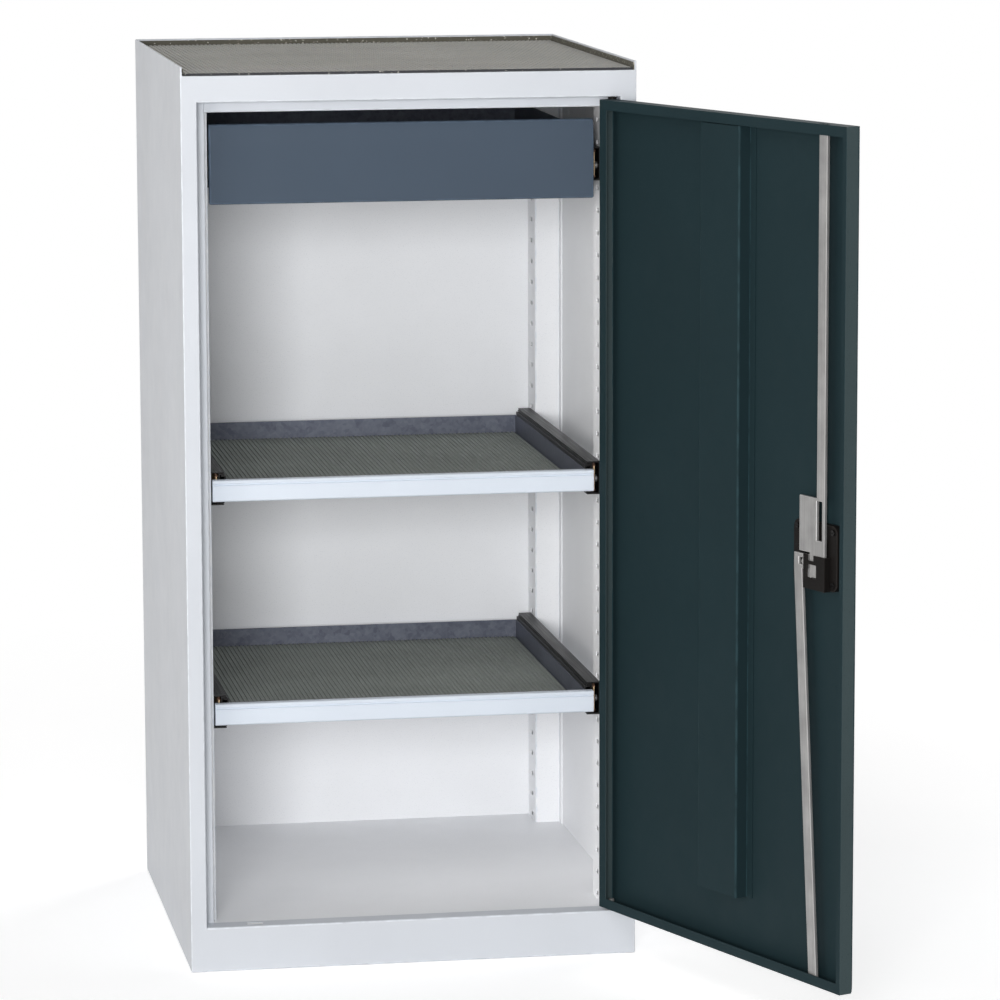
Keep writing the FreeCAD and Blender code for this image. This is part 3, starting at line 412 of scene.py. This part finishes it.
def chains(edges):
    """Groups of edges that share corners."""
    groups = []
    left = set(edges)
    while left:
        queue = [left.pop()]
        group = []
        while queue:
            edge = queue.pop()
            group.append(edge)
            for vertex in edge.verts:
                for other in vertex.link_edges:
                    if other in left:
                        left.remove(other)
                        queue.append(other)
        groups.append(sorted(group, key=lambda edge: edge.index))
    return sorted(groups, key=lambda group: group[0].index)


def round_edges(mesh, edges, radius, segments):
    """Rounds edges, one connected group at a time, and marks the new faces as edge wear."""
    mesh.edges.index_update()
    wear = mesh.loops.layers.float["edge_wear"]
    for group in chains(edges):
        made = bmesh.ops.bevel(
            mesh,
            geom=group,
            offset=radius,
            offset_type="OFFSET",
            segments=segments,
            profile=0.5,
            affect="EDGES",
            clamp_overlap=True,
        )
        for face in made["faces"]:
            for corner in face.loops:
                corner[wear] = 1.0


def cad_copy(node):
    """A node's mesh as one clean bmesh with flat faces joined."""
    mesh = bmesh.new()
    mesh.from_mesh(NODES[node].data)
    bmesh.ops.remove_doubles(mesh, verts=mesh.verts, dist=MERGE_DISTANCE)
    bmesh.ops.dissolve_limit(mesh, angle_limit=FLAT_ANGLE, verts=mesh.verts, edges=mesh.edges)
    mesh.loops.layers.float.new("edge_wear")
    return mesh


def add_piece(mesh, name, body, slot, look=None):
    """Turns a bmesh into a piece that rides on a body, with smooth faces and sharp creases."""
    for face in mesh.faces:
        face.smooth = True
    for edge in mesh.edges:
        edge.smooth = edge.smooth and edge.calc_face_angle(math.pi) < CREASE_ANGLE
    data = bpy.data.meshes.new(name)
    mesh.to_mesh(data)
    mesh.free()
    data.materials.append(look or MATERIALS[slot])
    piece = bpy.data.objects.new(name, data)
    bpy.context.scene.collection.objects.link(piece)
    weighted = piece.modifiers.new("weighted_normals", "WEIGHTED_NORMAL")
    weighted.keep_sharp = True
    weighted.weight = NORMAL_WEIGHT
    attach(piece, body)
    return piece


def add_replacement(mesh, node):
    """A piece that stands for a CAD node."""
    piece = add_piece(mesh, f"{node}_look", BODY_OF[node], SLOT_OF[node])
    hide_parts(node)


def door_directions():
    """Level unit vectors of the open door: towards its free edge and out of its outer face."""
    joints = frame["record"]["behaviour"]["joints"]
    swing = next(joint for joint in joints if joint["name"] == "door_hinge")
    angle = math.radians(-swing["range_deg"][0])
    free = Vector((-math.cos(angle), -math.sin(angle), 0.0))
    outer = Vector((math.sin(angle), -math.cos(angle), 0.0))
    return free, outer


def free_edge_fold(mesh, sheet):
    """The door's upright fold at the outer corner of its free edge."""
    free, outer = door_directions()
    corner = max((vertex.co.copy() for vertex in mesh.verts), key=(free + outer).dot)
    return [
        edge for edge in fold_edges(mesh, sheet, True)
        if all((vertex.co.xy - corner.xy).length < SAME_FOLD for vertex in edge.verts)
    ]


def mark_free_edge(mesh):
    """Marks the faces of the door's free edge, where the dark paint gets painted light."""
    free = door_directions()[0]
    layer = mesh.loops.layers.float.new("edge_face")
    for face in mesh.faces:
        if face.normal.dot(free) > 0.5:
            for corner in face.loops:
                corner[layer] = 1.0


def split_at_joints(mesh):
    """Splits a side panel at the heights where the top rail and the plinth meet its stile."""
    heights = (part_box("floor_panel")[1][2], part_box("top_mat")[0][2] - RAIL_FACE)
    for height in heights:
        bmesh.ops.bisect_plane(
            mesh,
            geom=list(mesh.verts) + list(mesh.edges) + list(mesh.faces),
            plane_co=(0.0, 0.0, height),
            plane_no=(0.0, 0.0, 1.0),
        )
    return heights


def against_rail(edge, heights):
    """True for the stile's inner edge where the top rail or the plinth lies against it."""
    middle = (edge.verts[0].co + edge.verts[1].co) / 2
    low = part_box("left_side_panel")[0]
    at_side = abs(abs(middle.x) - abs(low[0]) + STILE_FACE) < IN_LINE
    at_front = abs(middle.y - low[1]) < IN_LINE
    return at_side and at_front and not heights[0] < middle.z < heights[1]


def crease_fold_ends(mesh):
    """Creases the small triangles at which a rounded fold ends.

    Otherwise their slopes would shade the wide faces beside them.
    """
    for face in mesh.faces:
        if len(face.verts) == 3 and face.calc_area() < FOLD_END_AREA:
            for edge in face.edges:
                edge.smooth = False


def dress_sheet(node, sheet):
    """Rounds the folds of a sheet part."""
    mesh = cad_copy(node)
    heights = split_at_joints(mesh) if node.endswith("_side_panel") else None
    if node == "door_panel":
        round_edges(mesh, free_edge_fold(mesh, sheet), DOOR_EDGE_FOLD, 5)
    outer = fold_edges(mesh, sheet, True)
    if heights:
        outer = [edge for edge in outer if not against_rail(edge, heights)]
    round_edges(mesh, outer, OUTER_FOLD, 3)
    round_edges(mesh, fold_edges(mesh, sheet, False), INNER_FOLD, 2)
    bmesh.ops.dissolve_degenerate(mesh, dist=0.000001, edges=mesh.edges)
    if heights:
        crease_fold_ends(mesh)
    if node == "door_panel":
        mark_free_edge(mesh)
    add_replacement(mesh, node)


def dress_solid(node, radius):
    """Breaks the sharp outer edges of a solid part."""
    mesh = cad_copy(node)
    round_edges(mesh, outline_edges(mesh), radius, 2)
    add_replacement(mesh, node)


LEVELS = ("drawer", "upper_tray", "lower_tray")
HANDS = ("left", "right")

SHEET_PARTS = {
    "left_side_panel": CARCASS_SHEET,
    "right_side_panel": CARCASS_SHEET,
    "back_panel": CARCASS_SHEET,
    "top_panel": CARCASS_SHEET,
    "floor_panel": CARCASS_SHEET,
    "front_left_post": POST_SHEET,
    "front_right_post": POST_SHEET,
    "rear_left_post": POST_SHEET,
    "rear_right_post": POST_SHEET,
    "door_panel": PAN_SHEET,
    "door_stiffener": PAN_SHEET,
    "drawer_front": PAN_SHEET,
    "drawer_box": PAN_SHEET,
    "upper_tray_pan": PAN_SHEET,
    "lower_tray_pan": PAN_SHEET,
}

SOLID_PARTS = {
    "upper_lock_rod": 0.0007,
    "lower_lock_rod": 0.0007,
    "lock_case": 0.0010,
    "lock_cover": 0.0004,
    "lock_cam": 0.0003,
    "lock_case_screws": 0.0003,
    "handle_rosette": 0.0010,
    "upper_pin_bracket": 0.0004,
    "lower_pin_bracket": 0.0004,
    "upper_hinge_bush": 0.0003,
    "lower_hinge_bush": 0.0003,
}
for level in LEVELS:
    for member in ("outer", "middle", "inner"):
        for hand in HANDS:
            SOLID_PARTS[f"{level}_slide_{member}_{hand}"] = 0.0003


def new_mesh():
    """An empty mesh that can be marked with edge wear."""
    mesh = bmesh.new()
    mesh.loops.layers.float.new("edge_wear")
    return mesh


def arc(middle, radius, start, end, steps):
    """Points of an arc in a plane, with the angles in degrees."""
    points = []
    for step in range(steps + 1):
        angle = math.radians(start + (end - start) * step / steps)
        points.append((middle[0] + radius * math.cos(angle), middle[1] + radius * math.sin(angle)))
    return points


def add_loft(mesh, rows, closed=False):
    """Quads between rows of points; closed joins each row's ends."""
    grid = [[mesh.verts.new(point) for point in row] for row in rows]
    count = len(grid[0])
    for near, far in zip(grid, grid[1:]):
        for at in range(count if closed else count - 1):
            after = (at + 1) % count
            mesh.faces.new((near[at], near[after], far[after], far[at]))
    return grid


def add_bar(mesh, outline, low, high):
    """A closed bar whose outline is a list of corners (y, z), from one X to another."""
    rows = [[(x, y, z) for y, z in outline] for x in (low, high)]
    near, far = add_loft(mesh, rows, closed=True)
    mesh.faces.new(near)
    mesh.faces.new(far)


def rounded_block(mesh, low, high, radius):
    """A block between two corners with broken edges."""
    part = new_mesh()
    middle = [(a + b) / 2 for a, b in zip(low, high)]
    size = [b - a for a, b in zip(low, high)]
    bmesh.ops.create_cube(part, size=1.0)
    bmesh.ops.scale(part, vec=size, verts=part.verts)
    bmesh.ops.translate(part, vec=middle, verts=part.verts)
    round_edges(part, list(part.edges), radius, 2)
    data = bpy.data.meshes.new("part")
    part.to_mesh(data)
    part.free()
    mesh.from_mesh(data)
    bpy.data.meshes.remove(data)


def finished(mesh):
    """The mesh with all its faces turned outwards."""
    bmesh.ops.recalc_face_normals(mesh, faces=mesh.faces)
    return mesh


def tray_front_outline(inset):
    """The front's outline from its lower back corner round to the upper one, in millimetres.

    The first number is the depth behind the face, the second the height above the bottom.
    Inset moves the outline inwards.
    """
    depth = 10.0
    height = 24.0
    foot_radius = 2.4
    top_radius = 1.9
    groove_depth = 1.7
    foot = arc((foot_radius, foot_radius), foot_radius - inset, 270, 180, 5)
    groove = [
        (inset, 17.8 - inset * 0.4),
        (groove_depth + inset, 18.9 - inset * 0.3),
        (groove_depth + inset, 19.9 + inset * 0.3),
        (inset, 20.5 + inset * 0.4),
    ]
    top = arc((top_radius, height - top_radius), top_radius - inset, 180, 90, 5)
    return [(depth, inset)] + foot + groove + top + [(depth, height - inset)]


def tray_front(level):
    """The tray's folded front: rounded top bead with a groove below it, rounded foot and closed ends."""
    node = f"{level}_front"
    low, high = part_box(node)
    mesh = new_mesh()

    def row(x, inset):
        outline = tray_front_outline(inset)
        return [(x, low[1] + depth / 1000, low[2] + height / 1000) for depth, height in outline]

    outer = add_loft(mesh, [row(low[0], 0.0), row(high[0], 0.0)])
    inset = PAN_SHEET * 1000
    inner = add_loft(mesh, [row(low[0] + PAN_SHEET, inset), row(high[0] - PAN_SHEET, inset)])
    for ends in (outer, inner):
        for end in ends:
            mesh.faces.new(end)
    for at in (0, -1):
        mesh.faces.new((outer[0][at], outer[1][at], inner[1][at], inner[0][at]))
    for end in (0, 1):
        mesh.faces.new((outer[end][0], outer[end][-1], inner[end][-1], inner[end][0]))
    add_replacement(finished(mesh), node)


# Ball cages of the slides, in metres. A side is the distance from the middle of the cabinet to the near
# and the far face, and a height is measured from the middle of the slide.
CAGE_START = 0.0006
CAGE_LENGTH = 0.11
CAGE_EDGE = 0.0003
STRIP_SIDES = (0.2106, 0.2118)
STRIP_HALF_HEIGHT = 0.0132
RACE_SIDES = (0.2098, 0.2126)
RACE_HEIGHTS = (0.0128, 0.0143)
BALL_SIDE = 0.2112
BALL_HEIGHT = 0.0151
BALL_RADIUS = 0.0016
BALL_COUNT = 15
FIRST_BALL = 0.004
BALL_PITCH = 0.0073


def slide_cages():
    """Ball cages at the mouths of the outer slide members: a tan strip between two rows of balls."""
    strips = new_mesh()
    balls = new_mesh()
    for level in LEVELS:
        for hand, sign in zip(HANDS, (-1, 1)):
            low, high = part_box(f"{level}_slide_outer_{hand}")
            front = low[1] + CAGE_START
            back = front + CAGE_LENGTH
            middle = (low[2] + high[2]) / 2
            near, far = sorted(sign * side for side in STRIP_SIDES)
            low_corner = (near, front, middle - STRIP_HALF_HEIGHT)
            high_corner = (far, back, middle + STRIP_HALF_HEIGHT)
            rounded_block(strips, low_corner, high_corner, CAGE_EDGE)
            near, far = sorted(sign * side for side in RACE_SIDES)
            for side in (-1, 1):
                base, top = sorted(middle + side * height for height in RACE_HEIGHTS)
                rounded_block(balls, (near, front, base), (far, back, top), CAGE_EDGE)
                for number in range(BALL_COUNT):
                    ball_y = front + FIRST_BALL + number * BALL_PITCH
                    place = Matrix.Translation((sign * BALL_SIDE, ball_y, middle + side * BALL_HEIGHT))
                    bmesh.ops.create_icosphere(balls, subdivisions=2, radius=BALL_RADIUS, matrix=place)
    look = moulded("cage_tan", CAGE_TAN, 0.5)
    add_piece(finished(strips), "slide_cages", "carcass", "slide_steel", look)
    look = moulded("ball_brown", BALL_BROWN, 0.35)
    add_piece(finished(balls), "slide_balls", "carcass", "slide_steel", look)


# Dark rubber round the top mat, whose dark tone is also painted shade on the rim's inner faces, in metres:
# the rim's inner faces at the sides and the rear, the trim's front end, and how far the trim stays below
# the rim's top
RIM_INSIDE = 0.2476
TRIM_FRONT = -0.2498
TRIM_DROP = 0.0018

# The bead at the mat's front edge, a dark piece that is a painted shadow in the gap there: its front and
# rear, the height of its straight part, and its half length
BEAD_FRONT = -0.2487
BEAD_REAR = -0.2475
BEAD_WALL = 0.0022
BEAD_HALF_LENGTH = 0.2460


def top_mat_trim():
    """Dark rubber trim up the rim's inner faces on three sides, whose dark tone is also painted shade on
    those faces, and a low dark bead at the mat's front edge, a painted shadow in the gap there.
    """
    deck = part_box("top_mat")[0][2]
    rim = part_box("left_side_panel")[1]
    top = rim[2] - TRIM_DROP
    profile = [
        (0.0, deck),
        (0.0012, deck),
        (0.0012, top - 0.0006),
        (0.0009, top - 0.0001),
        (0.0004, top),
        (0.0, top),
    ]
    mesh = new_mesh()
    rows = []
    for inset, height in profile:
        side = RIM_INSIDE - inset
        corners = [(-side, TRIM_FRONT), (-side, side), (side, side), (side, TRIM_FRONT)]
        rows.append([(x, y, height) for x, y in corners])
    grid = add_loft(mesh, rows + rows[:1])
    bmesh.ops.remove_doubles(mesh, verts=mesh.verts, dist=0.000001)
    for end in (0, 3):
        mesh.faces.new([vertex for vertex in (row[end] for row in grid[:-1]) if vertex.is_valid])
    # Painted shade: the trim's dark tone stands in for the shade on the rim's inner faces.
    look = rubber("trim_rubber_and_painted_shade", TRIM_PAINTED_SHADE_GREY, TOP_MAT_SPECK, 0.06)
    add_piece(finished(mesh), "top_mat_rim", "carcass", "top_rubber", look)

    mesh = new_mesh()
    middle = (BEAD_FRONT + BEAD_REAR) / 2
    top = arc((middle, deck + BEAD_WALL), (BEAD_REAR - BEAD_FRONT) / 2, 180, 0, 6)
    add_bar(mesh, [(BEAD_FRONT, deck)] + top + [(BEAD_REAR, deck)], -BEAD_HALF_LENGTH, BEAD_HALF_LENGTH)
    # Painted shadow: the dark bead stands in for the shadow in the gap at the mat's front edge.
    look = rubber("bead_painted_shadow", BEAD_PAINTED_SHADOW_GREY, TOP_MAT_SPECK, 0.03)
    add_piece(finished(mesh), "top_mat_bead", "carcass", "top_rubber", look)


for node, sheet in SHEET_PARTS.items():
    dress_sheet(node, sheet)
for node, radius in SOLID_PARTS.items():
    dress_solid(node, radius)
tray_front("upper_tray")
tray_front("lower_tray")
slide_cages()
top_mat_trim()


# The floor, in metres: half its side, how far it lies below the object, and the distances from the origin
# at which it starts to turn white and is white
FLOOR_REACH = 40.0
FLOOR_DROP = 0.0003
WHITE_FROM = 0.7
WHITE_AT = 1.9


def make_stage():
    """A pale floor that keeps a soft shadow near the object and turns white further out."""
    data = bpy.data.meshes.new("floor")
    corners = [(-1, -1), (1, -1), (1, 1), (-1, 1)]
    points = [(x * FLOOR_REACH, y * FLOOR_REACH, 0.0) for x, y in corners]
    data.from_pydata(points, [], [(0, 1, 2, 3)])
    floor = bpy.data.objects.new("floor", data)
    floor.location.z = -FLOOR_DROP
    bpy.context.scene.collection.objects.link(floor)
    shader = Shader("pale_floor")
    grain = shader.between(shader.noise(6.0, 3.0), 0.3, 0.7)
    tone = shader.blend(grain, (0.88, 0.88, 0.885, 1.0), (0.9, 0.9, 0.9, 1.0))
    shader.join(tone, shader.surface.inputs["Base Color"])
    shader.set(roughness=0.9, specular_ior_level=0.0)
    length = shader.add("ShaderNodeVectorMath")
    length.operation = "LENGTH"
    shader.join(shader.place, length.inputs[0])
    far = shader.between(length.outputs["Value"], WHITE_FROM, WHITE_AT)
    seen = seen_ray(shader.tree)
    glow = shader.add("ShaderNodeEmission")
    shader.join(shader.maths("MULTIPLY", seen, FLOOR_GLOW), glow.inputs["Strength"])
    near = shader.add("ShaderNodeAddShader")
    shader.join(shader.surface.outputs["BSDF"], near.inputs[0])
    shader.join(glow.outputs["Emission"], near.inputs[1])
    white = shader.add("ShaderNodeEmission")
    mix = shader.add("ShaderNodeMixShader")
    shader.join(shader.maths("MULTIPLY", far, seen), mix.inputs["Fac"])
    shader.join(near.outputs["Shader"], mix.inputs[1])
    shader.join(white.outputs["Emission"], mix.inputs[2])
    shader.join(mix.outputs["Shader"], shader.output.inputs["Surface"])
    data.materials.append(shader.material)


def seen_ray(tree):
    """1 on camera, glossy and transmission rays, else 0."""
    path = tree.nodes.new("ShaderNodeLightPath")
    last = path.outputs["Is Camera Ray"]
    for name in ("Is Glossy Ray", "Is Transmission Ray"):
        highest = tree.nodes.new("ShaderNodeMath")
        highest.operation = "MAXIMUM"
        tree.links.new(last, highest.inputs[0])
        tree.links.new(path.outputs[name], highest.inputs[1])
        last = highest.outputs[0]
    return last


def make_world(fill):
    """A white backdrop, and a plain fill light on the object."""
    world = bpy.data.worlds.new("studio")
    bpy.context.scene.world = world
    world.use_nodes = True
    tree = world.node_tree
    tree.nodes.clear()
    output = tree.nodes.new("ShaderNodeOutputWorld")
    mix = tree.nodes.new("ShaderNodeMixShader")
    light = tree.nodes.new("ShaderNodeBackground")
    light.inputs["Color"].default_value = (0.99, 0.995, 1.0, 1.0)
    light.inputs["Strength"].default_value = fill
    white = tree.nodes.new("ShaderNodeBackground")
    white.inputs["Color"].default_value = (1.0, 1.0, 1.0, 1.0)
    tree.links.new(seen_ray(tree), mix.inputs["Fac"])
    tree.links.new(light.outputs["Background"], mix.inputs[1])
    tree.links.new(white.outputs["Background"], mix.inputs[2])
    tree.links.new(mix.outputs["Shader"], output.inputs["Surface"])


# Brightness of the plain fill light
FILL_LIGHT = 0.18

# Lamps outside: name, place and side in metres, the brightness of a white surface that faces the lamp and
# its distance, and the lamp's colour
LAMPS = (
    ("key", (-1.5, -6.1, 1.35), 1.6, 0.54, 6.2, (0.985, 0.99, 1.0)),
    ("high_front", (-1.0, -4.0, 3.8), 2.0, 0.15, 5.14, (1.0, 0.995, 0.99)),
    ("side", (-3.6, -2.6, 1.0), 2.4, 0.34, 4.3, (1.0, 0.955, 0.91)),
    ("rear", (3.6, 3.4, 1.9), 2.6, 0.5, 5.3, (1.0, 0.99, 0.98)),
)

# Lamps inside, each below a node, with the brightness of a white surface close below it
INNER_LAMPS = {"drawer_box": 0.44, "upper_tray_pan": 0.48, "lower_tray_pan": 0.54}

# Side of an inner lamp, how far it hangs below its node, and how far ahead of the node's middle, in metres
INNER_LAMP_SIDE = 0.36
INNER_LAMP_DROP = 0.012
INNER_LAMP_AHEAD = 0.04

UP = Vector((0.0, 0.0, 1.0))
OBJECT_MIDDLE = Vector((0.0, -0.2, 0.5))


def lamp_power(level, distance):
    """Watts of a lamp that gives a white surface facing it this level of brightness."""
    return level * math.pi ** 2 * distance ** 2


def add_lamp(name, place, size, power, colour, target=OBJECT_MIDDLE):
    """A square soft lamp that faces a point of the object."""
    data = bpy.data.lights.new(name, "AREA")
    data.shape = "SQUARE"
    data.size = size
    data.energy = power
    data.color = colour
    lamp = bpy.data.objects.new(name, data)
    lamp.location = place
    lamp.rotation_euler = (target - Vector(place)).to_track_quat("-Z", "Y").to_euler()
    lamp.visible_camera = False
    bpy.context.scene.collection.objects.link(lamp)


def add_inner_lamp(node, level):
    """A soft lamp under a node inside the cabinet, which lights the space below it.

    The level is the brightness of a white surface close below the lamp.
    """
    low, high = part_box(node)
    across = (low[0] + high[0]) / 2
    along = (low[1] + high[1]) / 2 - INNER_LAMP_AHEAD
    middle = Vector((across, along, low[2] - INNER_LAMP_DROP))
    power = level * math.pi * INNER_LAMP_SIDE ** 2
    add_lamp(f"{node}_lamp", middle, INNER_LAMP_SIDE, power, (1.0, 1.0, 1.0), middle - UP)


def add_camera():
    """The camera for the photograph's view: tilted down, with no shift.

    The photograph itself looks like one from a shifted lens, so the two don't agree everywhere.
    """
    data = bpy.data.cameras.new("photo_camera")
    data.sensor_width = SENSOR_WIDTH
    data.lens = FOCAL_PIXELS / PICTURE_WIDTH * SENSOR_WIDTH
    data.clip_end = 200.0
    ahead = Vector((-math.sin(CAMERA_YAW), math.cos(CAMERA_YAW), 0.0))
    level = Vector((math.cos(CAMERA_YAW), math.sin(CAMERA_YAW), 0.0))
    forward = ahead * math.cos(CAMERA_PITCH) - UP * math.sin(CAMERA_PITCH)
    upright = UP * math.cos(CAMERA_PITCH) + ahead * math.sin(CAMERA_PITCH)
    right = level * math.cos(CAMERA_ROLL) + upright * math.sin(CAMERA_ROLL)
    up = upright * math.cos(CAMERA_ROLL) - level * math.sin(CAMERA_ROLL)
    turn = Matrix((right, up, -forward)).transposed().to_4x4()
    camera = bpy.data.objects.new("photo_camera", data)
    camera.matrix_world = Matrix.Translation(CAMERA_PLACE) @ turn
    bpy.context.scene.collection.objects.link(camera)
    bpy.context.scene.camera = camera


make_stage()
make_world(FILL_LIGHT)
for name, place, size, level, distance, colour in LAMPS:
    add_lamp(name, place, size, lamp_power(level, distance), colour)
for node, level in INNER_LAMPS.items():
    add_inner_lamp(node, level)
add_camera()
bpy.context.scene.view_settings.view_transform = "Standard"
